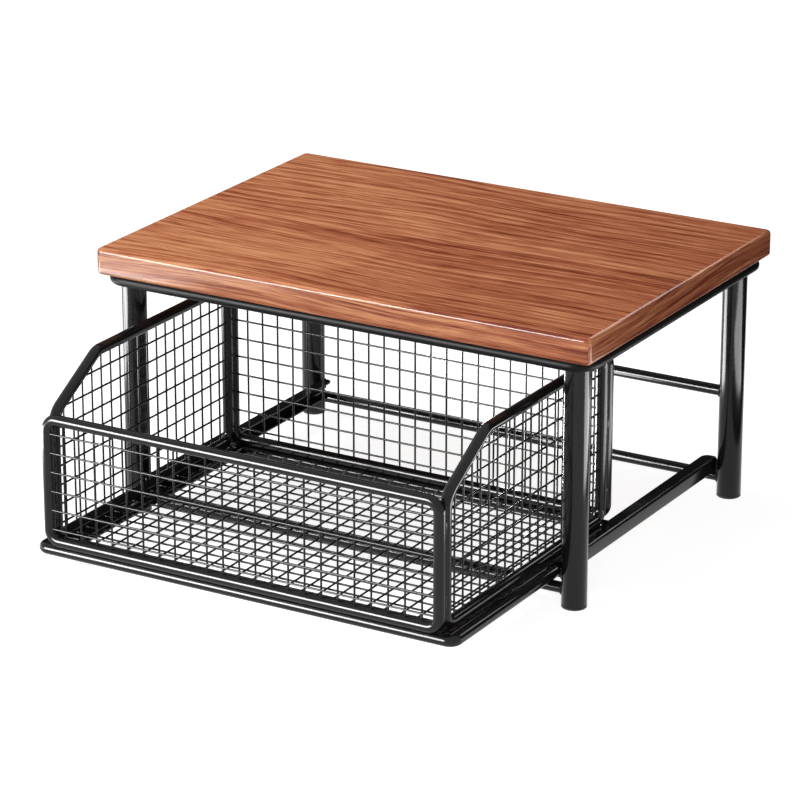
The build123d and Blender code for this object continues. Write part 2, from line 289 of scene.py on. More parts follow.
def wood_finish(name, colours):
    """Varnished wood: the figure's tone and painted shade pick the colour; its fibres give gloss and relief.
    """
    material, tree, shader = new_material(name)
    figure = add_node(tree, "ShaderNodeGroup", {}, node_tree=grain_group()).outputs
    ramp = add_node(tree, "ShaderNodeValToRGB", {"Fac": figure["Tone"]})
    set_stops(ramp, [(0.31, colours.wood_light), (0.53, colours.wood_middle), (0.86, colours.wood_dark)])
    gloss = add_node(tree, "ShaderNodeMapRange", {"Value": figure["Fibre"], "To Min": 0.45, "To Max": 0.6})
    feed(tree, shader, {
        "Base Color": ramp.outputs["Color"], "Roughness": gloss.outputs["Result"],
        "Specular IOR Level": 0.0, "Coat Weight": 0.4, "Coat Roughness": 0.16})
    bump(tree, shader, figure["Fibre"], depth=0.00003)
    return material


def finish(slot):
    """Material of a slot, made at its first use."""
    if slot in bpy.data.materials and bpy.data.materials[slot].get("shelf_finish"):
        return bpy.data.materials[slot]
    colours = bpy.context.scene.shelf_colours
    if slot == "board_wood":
        material = wood_finish(slot, colours)
    elif slot == "screw_steel":
        material = zinc_finish(slot, colours.zinc)
    elif slot == "foot_plastic":
        material = coat_finish(
            slot, colours.plastic, gloss=(0.45, 0.6), level=0.4, scales=(900.0, 4000.0), depth=0.00004)
    # Shaded copy of the black coat for the ring: painted shade, duller and barely glossy
    elif slot == "ring_shaded_black":
        material = coat_finish(slot, colours.coat, gloss=(0.36, 0.46), level=0.07)
    else:
        material = coat_finish(slot, colours.coat, gloss=(0.13, 0.19), level=0.25)
    material["shelf_finish"] = True
    return material


def refinish(node, slot):
    """Give a node that shows as it is the finish of its slot."""
    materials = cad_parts[node].data.materials
    materials.clear()
    materials.append(finish(slot))


# Shapes


def node_box(node):
    """Lowest corner, highest corner and middle of a node as arrays."""
    low, high = (np.array(corner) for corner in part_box(node))
    return low, high, (low + high) / 2


def around(steps):
    """Angles in equal steps once round."""
    return np.linspace(0, 2 * np.pi, steps, endpoint=False)


def points_at(x, y, z):
    """Points whose coordinates are arrays that broadcast together."""
    return np.stack(np.broadcast_arrays(x, y, z), -1)


def grid_quads(rows, columns, close_rows=False):
    """Quads of a grid numbered row by row, its columns closed on themselves, and its rows where asked."""
    row = np.arange(rows if close_rows else rows - 1)
    row, column = np.meshgrid(row, np.arange(columns), indexing="ij")
    next_row, next_column = (row + 1) % rows, (column + 1) % columns
    corners = (row * columns + column, row * columns + next_column,
               next_row * columns + next_column, next_row * columns + column)
    return np.stack(corners, -1).reshape(-1, 4)


def tube_faces(rows, sides, count=1):
    """Side quads and flat end caps of count equal tubes, each of so many rows with so many sides."""
    ring = np.arange(sides)
    caps = np.stack([ring[::-1], ring + sides * (rows - 1)])
    offset = rows * sides * np.arange(count)[:, None, None]
    return [(faces + offset).reshape(-1, faces.shape[1]) for faces in (grid_quads(rows, sides), caps)]


def sheet_faces(rows, columns):
    """Side quads and ends of a section that goes along one face of a sheet and comes back along the other."""
    near = np.arange(columns // 2 - 1)
    cap = np.stack([near, near + 1, columns - 2 - near, columns - 1 - near], -1)
    return [grid_quads(rows, columns), cap, cap[:, ::-1] + columns * (rows - 1)]


def outward(points, faces):
    """Faces turned so that the closed shell's volume, summed over fans of triangles, is positive."""
    volume = 0.0
    for polygons in faces:
        corner = points[polygons]
        fan = np.cross(corner[:, 1:-1], corner[:, 2:])
        volume += np.einsum("fij,fj->", fan, corner[:, 0])
    return faces if volume > 0 else [polygons[:, ::-1] for polygons in faces]


def put_piece(name, shell, body, slot, *nodes):
    """Mesh piece at the origin from a shell's points and faces, on a body and in place of its nodes."""
    points = shell[0].reshape(-1, 3)
    faces = outward(points, shell[1])
    corners = np.concatenate([polygons.ravel() for polygons in faces])
    counts = np.concatenate([np.full(len(polygons), polygons.shape[1]) for polygons in faces])
    mesh = bpy.data.meshes.new(name)
    mesh.vertices.add(len(points))
    mesh.vertices.foreach_set("co", points.astype(np.float32).ravel())
    mesh.loops.add(len(corners))
    mesh.loops.foreach_set("vertex_index", corners.astype(np.int32))
    mesh.polygons.add(len(counts))
    mesh.polygons.foreach_set("loop_start", (np.cumsum(counts) - counts).astype(np.int32))
    mesh.update(calc_edges=True)
    mesh.shade_smooth()
    mesh.set_sharp_from_angle(angle=SHARP_ANGLE)
    mesh.materials.append(finish(slot))
    piece = bpy.data.objects.new(name, mesh)
    bpy.context.scene.collection.objects.link(piece)
    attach(piece, body)
    if nodes:
        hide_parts(*nodes)
    return piece


def rectangle(half_width, half_height):
    """Corners of a rectangle about its centre, turning left."""
    return np.array([(-1, -1), (1, -1), (1, 1), (-1, 1)]) * (half_width, half_height)


def bent_loop(corners, bends, steps=12):
    """Closed line of straight runs joined by arcs, in a plane, with one bend radius or one for each corner.

    A corner's arc starts at the corner less bend * tan(turn / 2) along the incoming run, and goes on as
    bend * (sin a, 1 - cos a) along that run and to its left, for a from 0 to the turn. Gives points and
    tangents.
    """
    corners = np.asarray(corners, float)
    bends = np.broadcast_to(bends, len(corners))[:, None]
    runs = np.roll(corners, -1, 0) - corners
    runs /= np.linalg.norm(runs, axis=1, keepdims=True)
    before = np.roll(runs, 1, 0)
    left = np.stack([-before[:, 1], before[:, 0]], -1)
    turn = np.arctan2((runs * left).sum(1), (runs * before).sum(1))
    start = corners - before * bends * np.tan(turn / 2)[:, None]
    angle = (turn[:, None] * np.linspace(0, 1, steps))[..., None]
    before, left = before[:, None], left[:, None]
    points = start[:, None] + bends[:, None] * (np.sin(angle) * before + (1 - np.cos(angle)) * left)
    tangents = np.cos(angle) * before + np.sin(angle) * left
    return points.reshape(-1, 2), tangents.reshape(-1, 2)


def rod_loop(corners, bends, across, up, centre, radius):
    """Round rod along a closed bent line: at each point a circle spanned by the line's own plane and normal.

    Plane coordinates run along the unit vectors across and up from the centre.
    """
    line, tangent = bent_loop(corners, bends)
    normal = np.cross(across, up)
    spread = tangent[:, 1:2] * across - tangent[:, :1] * up
    angle = around(ROD_SIDES)[None, :, None]
    middle = centre + line[:, :1] * across + line[:, 1:] * up
    points = middle[:, None] + radius * (np.cos(angle) * spread[:, None] - np.sin(angle) * normal)
    return points, [grid_quads(len(line), ROD_SIDES, close_rows=True)]


def rod_rectangle(node, thin, bend):
    """Rod loop round a node's box, as long as its width and with the axis numbered thin across its plane."""
    low, high, middle = node_box(node)
    up = 3 - thin
    radius = (high[thin] - low[thin]) / 2
    half = (high - low) / 2 - radius
    return rod_loop(rectangle(half[0], half[up]), bend, X, AXES[up], middle, radius)


def straight_rods(starts, ends, radius, sides=12):
    """Straight round rods with flat ends, all in one direction: a circle carried from start to end."""
    starts, ends = np.broadcast_arrays(np.asarray(starts, float), np.asarray(ends, float))
    along = (ends[0] - starts[0]) / np.linalg.norm(ends[0] - starts[0])
    steep = abs(along[2]) > 0.9
    first = np.cross(along, X if steep else Z)
    first /= np.linalg.norm(first)
    second = np.cross(along, first)
    angle = around(sides)[:, None]
    circle = radius * (np.cos(angle) * first + np.sin(angle) * second)
    points = np.stack([starts[:, None] + circle, ends[:, None] + circle], 1)
    return points, tube_faces(2, sides, len(starts))


def level_rod(node, radius):
    """Straight rod from left to right over a node's whole width."""
    low, high, middle = node_box(node)
    reach = (high[0] - low[0]) / 2 * X
    return straight_rods([middle - reach], [middle + reach], radius, ROD_SIDES)


def put_wires(node, starts, ends, wire):
    """Straight wires of a node of the basket from starts to ends."""
    put_piece(f"{node}_wire", straight_rods(starts, ends, wire), "basket", "wire_black", node)


def bank_of_wires(node, step_axis, run_axis, count, bite):
    """Equal wires side by side along one axis, each over the node's run and a bite further at its ends."""
    low, high, middle = node_box(node)
    thin = 3 - step_axis - run_axis
    wire = (high[thin] - low[thin]) / 2
    starts = np.repeat(middle[None], count, 0)
    starts[:, step_axis] = np.linspace(low[step_axis] + wire, high[step_axis] - wire, count)
    ends = starts.copy()
    starts[:, run_axis] = low[run_axis] - bite
    ends[:, run_axis] = high[run_axis] + bite
    put_wires(node, starts, ends, wire)


def lathe(profile, centre, sides=64):
    """Profile of (radius, height) pairs, from the lower to the upper rim, turned round an upright axis."""
    profile = np.asarray(profile, float)
    angle = around(sides)
    circle = np.stack([np.cos(angle), np.sin(angle), 0 * angle], -1)
    points = profile[:, None, :1] * circle + profile[:, None, 1:] * Z + centre
    return points, tube_faces(len(profile), sides)


def bead_ring(line, first, second, radius, sides=10, ripples=22, ripple=0.1):
    """Weld bead along a closed line: ellipses spanned by two fields of vectors, with a rippled radius."""
    share = around(len(line))
    swell = radius * (1 + ripple * np.cos(ripples * share))[:, None, None]
    angle = around(sides)[None, :, None]
    points = line[:, None] + swell * (np.cos(angle) * first[:, None] + np.sin(angle) * second[:, None])
    return points.reshape(-1, 3), [grid_quads(len(line), sides, close_rows=True)]


def pods(centres, half_sizes, rows=9, sides=12, pole=1.45):
    """Ellipsoids about centres: half sizes times the sines and cosines of latitude and longitude.

    They are cut flat at the latitude of the pole, in radians.
    """
    latitude = np.linspace(-pole, pole, rows)[:, None]
    longitude = around(sides)
    ball = points_at(
        np.cos(latitude) * np.cos(longitude), np.cos(latitude) * np.sin(longitude), np.sin(latitude))
    centres = np.asarray(centres, float).reshape(-1, 1, 3)
    points = centres + ball.reshape(-1, 3) * np.asarray(half_sizes, float)
    return points.reshape(-1, 3), tube_faces(rows, sides, len(centres))


def joined(*shells):
    """Points and faces of several shells as one."""
    points, faces, offset = [], [], 0
    for shell_points, shell_faces in shells:
        points.append(shell_points)
        faces += [polygons + offset for polygons in shell_faces]
        offset += len(shell_points)
    return np.concatenate(points), faces


def basket_lines(sizes):
    """Radius and axes of the side loops' rods, from the right loop's box, and the slant's end and slope."""
    low, high, _ = node_box("right_side_loop")
    rod = (high[0] - low[0]) / 2
    top = high[2] - rod
    return SimpleNamespace(
        rod=rod, side=high[0] - rod, front=low[1] + rod, rear=high[1] - rod, bottom=low[2] + rod, top=top,
        shoulder=top - sizes.shoulder_drop, slope=sizes.shoulder_drop / sizes.slant_run)


# Operators


class SHELF_OT_board(bpy.types.Operator):
    """Make the wooden board"""

    bl_idname = "shelf.board"
    bl_label = "Board"

    def execute(self, context):
        sizes = context.scene.shelf_sizes
        low, high, middle = node_box("top_board")
        half = (high - low) / 2
        corner, edge = sizes.board_corner, sizes.board_edge
        # Rounded profile from the underside to the top, as inset from the outline and height, with a last
        # ring on each flat face
        steps, last_ring = 9, 1.3
        bend = np.linspace(0, QUARTER, steps)
        inset = edge * np.append(last_ring, 1 - np.sin(bend))
        rise = edge * np.append(0, 1 - np.cos(bend))
        inset = np.append(inset, inset[::-1])
        height = np.append(low[2] + rise, (high[2] - rise)[::-1])
        # Outline: four quarter circles, whose radius is the corner's less the inset
        angle = (bend + QUARTER * np.arange(4)[:, None]).ravel()
        centre = np.repeat((half[:2] - corner) * np.array([(1, 1), (-1, 1), (-1, -1), (1, -1)]), steps, 0)
        turn = np.stack([np.cos(angle), np.sin(angle)], -1)
        plan = middle[:2] + centre + (corner - inset)[:, None, None] * turn
        shell = points_at(plan[..., 0], plan[..., 1], height[:, None]), tube_faces(*plan.shape[:2])
        board = put_piece("shelf_board", shell, "frame", "board_wood", "top_board")
        self.lay_grain(board.data, middle, half)
        return {"FINISHED"}

    @staticmethod
    def lay_grain(mesh, middle, half):
        """Place of each face corner on the planks: along, across and a plank number.

        The top and the long sides are one sheet that is folded over the edge, so across goes on down the
        side, a little faster because the side cuts the growth rings steeply. Each end has its own sheet with
        its grain along the end, and the underside is another plank.
        """
        steepness, flat_normal, end_shift = 1.3, 0.99, 0.4
        underside_plank, left_plank, right_plank = 0.5, 0.1, 0.5

        def read(items, name, kind, width):
            values = np.zeros((len(items), width), kind)
            items.foreach_get(name, values.ravel())
            return values

        index = read(mesh.loops, "vertex_index", np.int32, 1).ravel()
        totals = read(mesh.polygons, "loop_total", np.int32, 1).ravel()
        x, y, z = (read(mesh.vertices, "co", np.float32, 3)[index] - middle).T
        normal = np.repeat(read(mesh.polygons, "normal", np.float32, 3), totals, 0)
        normal_x, normal_y, normal_z = normal.T
        flat = np.abs(normal_z) > flat_normal
        end = ~flat & (np.abs(normal_x) > np.abs(normal_y))
        side = ~flat & ~end
        fall = steepness * (half[2] - z)
        grain = np.stack([x, y, np.where(normal_z < -flat_normal, underside_plank, 0.0)], -1)
        grain[side, 1] = (np.sign(y) * (half[1] + fall))[side]
        # Along on an end face is raised by the end shift, so the drift paints shade there and darkens both
        # ends
        grain[end] = np.stack([y + end_shift, fall, np.where(x > 0, right_plank, left_plank)], -1)[end]
        attribute = mesh.attributes.new("grain_place", "FLOAT_VECTOR", "CORNER")
        attribute.data.foreach_set("vector", grain.astype(np.float32).ravel())


class SHELF_OT_legs(bpy.types.Operator):
    """Make the four leg tubes and finish their feet"""

    bl_idname = "shelf.legs"
    bl_label = "Legs and feet"

    def execute(self, context):
        rim = context.scene.shelf_sizes.leg_rim
        # How far the rim's middle point stays inside the corner
        cut = 0.3 * rim
        for leg in [f"{end}_{hand}" for end in ENDS for hand, _ in HANDS]:
            low, high, middle = node_box(f"{leg}_leg")
            radius, bottom, top = (high[0] - low[0]) / 2, low[2], high[2]
            profile = [(radius - rim, bottom), (radius - cut, bottom + cut), (radius, bottom + rim),
                       (radius, top - rim), (radius, top)]
            put_piece(f"{leg}_tube", lathe(profile, middle * (1, 1, 0)), "frame", "frame_black", f"{leg}_leg")
            refinish(f"{leg}_foot", "foot_plastic")
        return {"FINISHED"}


class SHELF_OT_frame_rods(bpy.types.Operator):
    """Make the rod ring under the board and the crossbars between the legs"""

    bl_idname = "shelf.frame_rods"
    bl_label = "Ring and crossbars"

    def execute(self, context):
        low, high, _ = node_box("top_ring")
        radius = (high[2] - low[2]) / 2
        # The ring bends round the axis of a leg
        bend = high[0] - radius - node_box("front_right_leg")[2][0]
        ring = put_piece("ring_rod", rod_rectangle("top_ring", 2, bend), "frame", "frame_black", "top_ring")
        # The ring takes the shaded copy of the black coat: painted shade that keeps the lamps' highlight off
        # it
        ring.data.materials[0] = finish("ring_shaded_black")
        for name in CROSSBARS:
            node = f"{name}_crossbar"
            put_piece(f"{name}_rod", level_rod(node, radius), "frame", "frame_black", node)
        return {"FINISHED"}


class SHELF_OT_rails(bpy.types.Operator):
    """Make the two C-channel rails"""

    bl_idname = "shelf.rails"
    bl_label = "Rails"

    def execute(self, context):
        sizes = context.scene.shelf_sizes
        sheet, end_round, stations = sizes.rail_sheet, sizes.rail_end_round, 5
        for hand, side in HANDS:
            low, high, middle = node_box(f"{hand}_rail")
            width, length, height = high - low
            line, normal = self.middle_line(width, height, sheet, sizes.rail_bend - sheet / 2)
            section = np.concatenate([line + normal * sheet / 2, (line - normal * sheet / 2)[::-1]])
            # The flanges' corners are cut back by a quarter circle
            depth = np.concatenate([line, line[::-1]])[:, 0]
            short = np.clip(end_round - depth, 0, None)
            reach = length / 2 - (end_round - np.sqrt(end_round**2 - short**2))
            along = np.linspace(-1, 1, stations)[:, None] * reach
            tip = low[0] if side > 0 else high[0]
            points = points_at(tip + side * section[:, 0], middle[1] + along, middle[2] + section[:, 1])
            shell = points, sheet_faces(*along.shape)
            put_piece(f"{hand}_channel", shell, "frame", "frame_black", f"{hand}_rail")
        return {"FINISHED"}

    @staticmethod
    def middle_line(width, height, sheet, bend):
        """Middle of the sheet from the lower flange's tip round the web to the upper, as depth and height.

        A flange is a straight run and goes over into the web by a quarter circle, and the upper half mirrors
        the lower one. Gives the points and the normals of the line.
        """
        flange_steps, corner_steps = 12, 7
        straight = width - sheet / 2 - bend
        flange = np.linspace(0, straight, flange_steps, endpoint=False)
        corner = np.linspace(0, QUARTER, corner_steps)
        angle = np.append(0 * flange, corner)
        depth = np.append(flange, straight + 0 * corner) + bend * np.sin(angle)
        rise = bend * (1 - np.cos(angle)) - (height - sheet) / 2
        line = np.stack([depth, rise], -1)
        normal = np.stack([-np.sin(angle), np.cos(angle)], -1)
        mirror = np.array([1, -1])
        return np.concatenate([line, line[::-1] * mirror]), np.concatenate([normal, normal[::-1] * mirror])


class SHELF_OT_fixings(bpy.types.Operator):
    """Make the screws under the board and finish their tabs"""

    bl_idname = "shelf.fixings"
    bl_label = "Tabs and screws"

    def execute(self, context):
        sizes = context.scene.shelf_sizes
        refinish("board_tabs", "frame_black")
        low, high, middle = node_box("board_screws")
        seat = node_box("board_tabs")[0][2]
        screw = self.screw(sizes.screw_head, sizes.screw_shank, seat - low[2], high[2] - seat)
        reach = (high - low)[:2] / 2 - sizes.screw_head
        places = middle[:2] + rectangle(*reach)
        points = np.stack([screw + np.append(place, seat) for place in places])
        shell = points, tube_faces(*screw.shape[:2], len(places))
        put_piece("cross_head_screws", shell, "frame", "screw_steel", "board_screws")
        return {"FINISHED"}

    @staticmethod
    def screw(head, shank, drop, rise):
        """Rings of points of a screw about its seat, from the head's middle below to the shank's end above.

        The pan head is a dome over radius and angle that hangs by drop * sqrt(1 - share ** 6) at a share of
        its radius, sunk by a recess of two crossed bars. The shank is a straight tube.
        """
        arm, half_width, slope, deep = 0.0021, 0.00045, 0.0004, 0.0011
        hub, rings, sides = 0.02, 22, 48
        share = np.linspace(hub, 1, rings)[:, None]
        angle = around(sides)
        across, along = head * share * np.cos(angle), head * share * np.sin(angle)

        def bar(long, thin):
            ends = np.clip((arm - np.abs(long)) / slope, 0, 1)
            return ends * np.clip(2 - np.abs(thin) / half_width, 0, 1)

        cross = np.maximum(bar(across, along), bar(along, across))
        dome = points_at(across, along, deep * cross - drop * np.sqrt(1 - share**6))
        tube = points_at(shank * np.cos(angle), shank * np.sin(angle), np.array([[0], [rise]]))
        return np.concatenate([dome, tube])


class SHELF_OT_slide_frame(bpy.types.Operator):
    """Make the rod loop that runs in the rails and the bar across it"""

    bl_idname = "shelf.slide_frame"
    bl_label = "Slide frame"

    def execute(self, context):
        low, high, _ = node_box("slide_frame")
        loop = rod_rectangle("slide_frame", 2, context.scene.shelf_sizes.slide_bend)
        put_piece("slide_rod", loop, "basket", "frame_black", "slide_frame")
        bar = level_rod("slide_mid_bar", (high[2] - low[2]) / 2)
        put_piece("slide_mid_rod", bar, "basket", "frame_black", "slide_mid_bar")
        return {"FINISHED"}


class SHELF_OT_slide_strips(bpy.types.Operator):
    """Make the ribbed strips along the sides of the slide frame"""

    bl_idname = "shelf.slide_strips"
    bl_label = "Slide strips"

    def execute(self, context):
        sizes = context.scene.shelf_sizes
        steps_per_rib = 40
        for hand, side in HANDS:
            low, high, middle = node_box(f"{hand}_slide_strip")
            half = (high - low) / 2
            sheet = 2 * half[2] - sizes.rib_height
            # Width and height of the section: over the ribs, whose tops are arcs, and back underneath
            width = np.linspace(-1, 1, steps_per_rib * sizes.strip_ribs + 1) * half[0]
            pitch = 2 * half[0] / sizes.strip_ribs
            off = (width + half[0]) % pitch - pitch / 2
            crown = (sizes.rib_width**2 / 4 + sizes.rib_height**2) / (2 * sizes.rib_height)
            rib = np.sqrt(np.maximum(crown**2 - off**2, 0)) - crown + sizes.rib_height
            upper = low[2] + sheet + np.clip(rib, 0, None)
            across = np.concatenate([width, width[::-1]])
            height = np.concatenate([upper, np.full_like(upper, low[2])])
            # The corners beside the slide frame's bends are cut back by a quarter circle
            corner = sizes.slide_bend - sizes.rod_seat
            short = np.clip(corner - (half[0] - side * across), 0, corner)
            reach = half[1] - corner + np.sqrt(corner**2 - short**2)
            along = np.array([-1, 1])[:, None] * reach
            shell = points_at(middle[0] + across, middle[1] + along, height), sheet_faces(*along.shape)
            put_piece(f"{hand}_ribbed_strip", shell, "basket", "frame_black", f"{hand}_slide_strip")
        return {"FINISHED"}


class SHELF_OT_loops(bpy.types.Operator):
    """Make the four rod loops of the basket"""

    bl_idname = "shelf.loops"
    bl_label = "Basket loops"

    def execute(self, context):
        sizes = context.scene.shelf_sizes
        for end in ENDS:
            loop = rod_rectangle(f"{end}_loop", 1, sizes.loop_bend)
            put_piece(f"{end}_loop_rod", loop, "basket", "frame_black", f"{end}_loop")
        lines = basket_lines(sizes)
        corners = [(lines.front, lines.bottom), (lines.rear, lines.bottom), (lines.rear, lines.top),
                   (lines.front + sizes.slant_run, lines.top), (lines.front, lines.shoulder)]
        bends = [sizes.loop_bend] * 3 + [sizes.slant_bend] * 2
        for hand, side in HANDS:
            loop = rod_loop(corners, bends, Y, Z, side * lines.side * X, lines.rod)
            put_piece(f"{hand}_side_loop_rod", loop, "basket", "frame_black", f"{hand}_side_loop")
        return {"FINISHED"}


class SHELF_OT_panels(bpy.types.Operator):
    """Make the wires of the front, rear and side panels"""

    bl_idname = "shelf.panels"
    bl_label = "Panel wires"

    def execute(self, context):
        sizes = context.scene.shelf_sizes
        lines = basket_lines(sizes)
        bite = lines.rod / 2
        for end, rows in (("front", sizes.front_rows), ("rear", sizes.side_rows)):
            bank_of_wires(f"{end}_mesh_uprights", 0, 2, sizes.front_wires, bite)
            bank_of_wires(f"{end}_mesh_cross_wires", 2, 0, rows, bite)
        # Side wires stop in the slant, whose axis falls to the front in a straight line
        for hand, _ in HANDS:
            node = f"{hand}_mesh_uprights"
            low, high, middle = node_box(node)
            wire = (high[0] - low[0]) / 2
            along = np.linspace(low[1] + wire, high[1] - wire, sizes.side_wires)
            slant = lines.shoulder + (along - lines.front) * lines.slope
            starts = points_at(middle[0], along, lines.bottom + bite)
            ends = points_at(middle[0], along, np.minimum(slant, lines.top) - bite)
            put_wires(node, starts, ends, wire)
            node = f"{hand}_mesh_cross_wires"
            low, high, middle = node_box(node)
            height = np.linspace(low[2] + wire, high[2] - wire, sizes.side_rows)
            slant = lines.front + (height - lines.shoulder) / lines.slope
            starts = points_at(middle[0], np.maximum(slant, lines.front) + bite, height)
            ends = points_at(middle[0], lines.rear - bite, height)
            put_wires(node, starts, ends, wire)
        return {"FINISHED"}


class SHELF_OT_floor(bpy.types.Operator):
    """Make the wires of the basket's floor"""

    bl_idname = "shelf.floor"
    bl_label = "Floor wires"

    def execute(self, context):
        sizes = context.scene.shelf_sizes
        no_bite, long_bite = 0.0, 0.001
        bank_of_wires("floor_cross_wires", 1, 0, sizes.side_wires, no_bite)
        bank_of_wires("floor_long_wires", 0, 1, sizes.front_wires, long_bite)
        return {"FINISHED"}


class SHELF_OT_welds(bpy.types.Operator):
    """Make the weld beads at the bars, rails and loops, and the spot welds of the wires"""

    bl_idname = "shelf.welds"
    bl_label = "Welds"

    def execute(self, context):
        sizes = context.scene.shelf_sizes
        lines = basket_lines(sizes)
        self.frame_welds(sizes.weld_bead)
        self.basket_welds(sizes, lines)
        self.spot_welds(sizes, lines)
        return {"FINISHED"}

    @staticmethod
    def frame_welds(bead):
        """Beads where the crossbars and the rails meet the legs.

        A crossbar's bead follows the curve in which the two cylinders cross. A rail is welded to each leg by
        an upright bead on either side of the line where they touch.
        """
        steps = 96
        angle = around(steps)
        out = np.cos(angle)[:, None] * Y + np.sin(angle)[:, None] * Z
        low, high, leg = node_box("front_right_leg")
        tube = (high[0] - low[0]) / 2
        shells = []
        for name in CROSSBARS:
            low, high, middle = node_box(f"{name}_crossbar")
            rod = (high[1] - low[1]) / 2
            reach = np.sqrt(tube**2 - (rod * np.cos(angle)) ** 2)
            for _, side in HANDS:
                line = middle + rod * out + side * (leg[0] - reach)[:, None] * X
                away = -side * reach[:, None] * X + rod * np.cos(angle)[:, None] * Y
                shells.append(bead_ring(line, out, away / tube, bead))
        _, high, rail = node_box("right_rail")
        aside, half_length, proud = 0.0034, 0.0048, 0.35 * bead
        spots = [(side * (high[0] + proud), node_box(f"{end}_right_leg")[2][1] + shift, rail[2])
                 for end in ENDS for _, side in HANDS for shift in (-aside, aside)]
        shells.append(pods(spots, (bead, 1.1 * bead, half_length)))
        put_piece("frame_weld_beads", joined(*shells), "frame", "frame_black")

    @staticmethod
    def basket_welds(sizes, lines):
        """Beads at the mid bar's ends and in the grooves between the upright rods of the loops.

        The mid bar is welded to a strip's edge by a bead below and one above the sheet. A groove has a low
        and a high pair of beads on the two sides of the rods.
        """
        bead = sizes.weld_bead
        _, high, bar = node_box("slide_mid_bar")
        strip = node_box("right_slide_strip")[2]
        below, above = -0.0014, 0.0012
        spots = [(side * high[0], bar[1], strip[2] + shift) for _, side in HANDS for shift in (below, above)]
        bar_beads = pods(spots, (bead, 0.9 * lines.rod, bead))
        aside, half_length, low_pair, high_pair = 0.0026, 0.006, 0.02, 0.078
        groove = lines.rod + sizes.weld_gap / 2
        spots = [(side * (lines.side + shift), y, lines.bottom + rise)
                 for _, side in HANDS for shift in (-aside, aside)
                 for y in (lines.front - groove, lines.rear + groove) for rise in (low_pair, high_pair)]
        loop_beads = pods(spots, (bead, 1.15 * bead, half_length))
        put_piece("basket_weld_beads", joined(bar_beads, loop_beads), "basket", "frame_black")

    @staticmethod
    def spot_welds(sizes, lines):
        """A small nugget wherever an upright wire crosses a cross wire, halfway between their axes."""
        walls = [("front", 0, sizes.front_wires, sizes.front_rows),
                 ("rear", 0, sizes.front_wires, sizes.side_rows)]
        walls += [(hand, 1, sizes.side_wires, sizes.side_rows) for hand, _ in HANDS]
        panels = [(f"{wall}_mesh_uprights", f"{wall}_mesh_cross_wires", step, 2, columns, rows)
                  for wall, step, columns, rows in walls]
        panels.append(("floor_long_wires", "floor_cross_wires", 0, 1, sizes.front_wires, sizes.side_wires))
        under_slant = 1.3 * lines.rod
        spots = []
        for uprights, crosses, step, rise, columns, rows in panels:
            low, high, middle = node_box(uprights)
            cross_low, cross_high, cross_middle = node_box(crosses)
            thin = 3 - step - rise
            wire = (high[thin] - low[thin]) / 2
            columns_at, rows_at = np.meshgrid(
                np.linspace(low[step] + wire, high[step] - wire, columns),
                np.linspace(cross_low[rise] + wire, cross_high[rise] - wire, rows))
            spot = np.zeros((rows * columns, 3))
            spot[:, step] = columns_at.ravel()
            spot[:, rise] = rows_at.ravel()
            spot[:, thin] = (middle[thin] + cross_middle[thin]) / 2
            if step == 1:
                slant = lines.shoulder + (spot[:, 1] - lines.front) * lines.slope
                spot = spot[spot[:, 2] < slant - under_slant]
            spots.append(spot)
        nugget = 0.95 * wire
        shell = pods(np.concatenate(spots), (nugget, nugget, nugget), rows=4, sides=6)
        put_piece("mesh_spot_welds", shell, "basket", "wire_black")


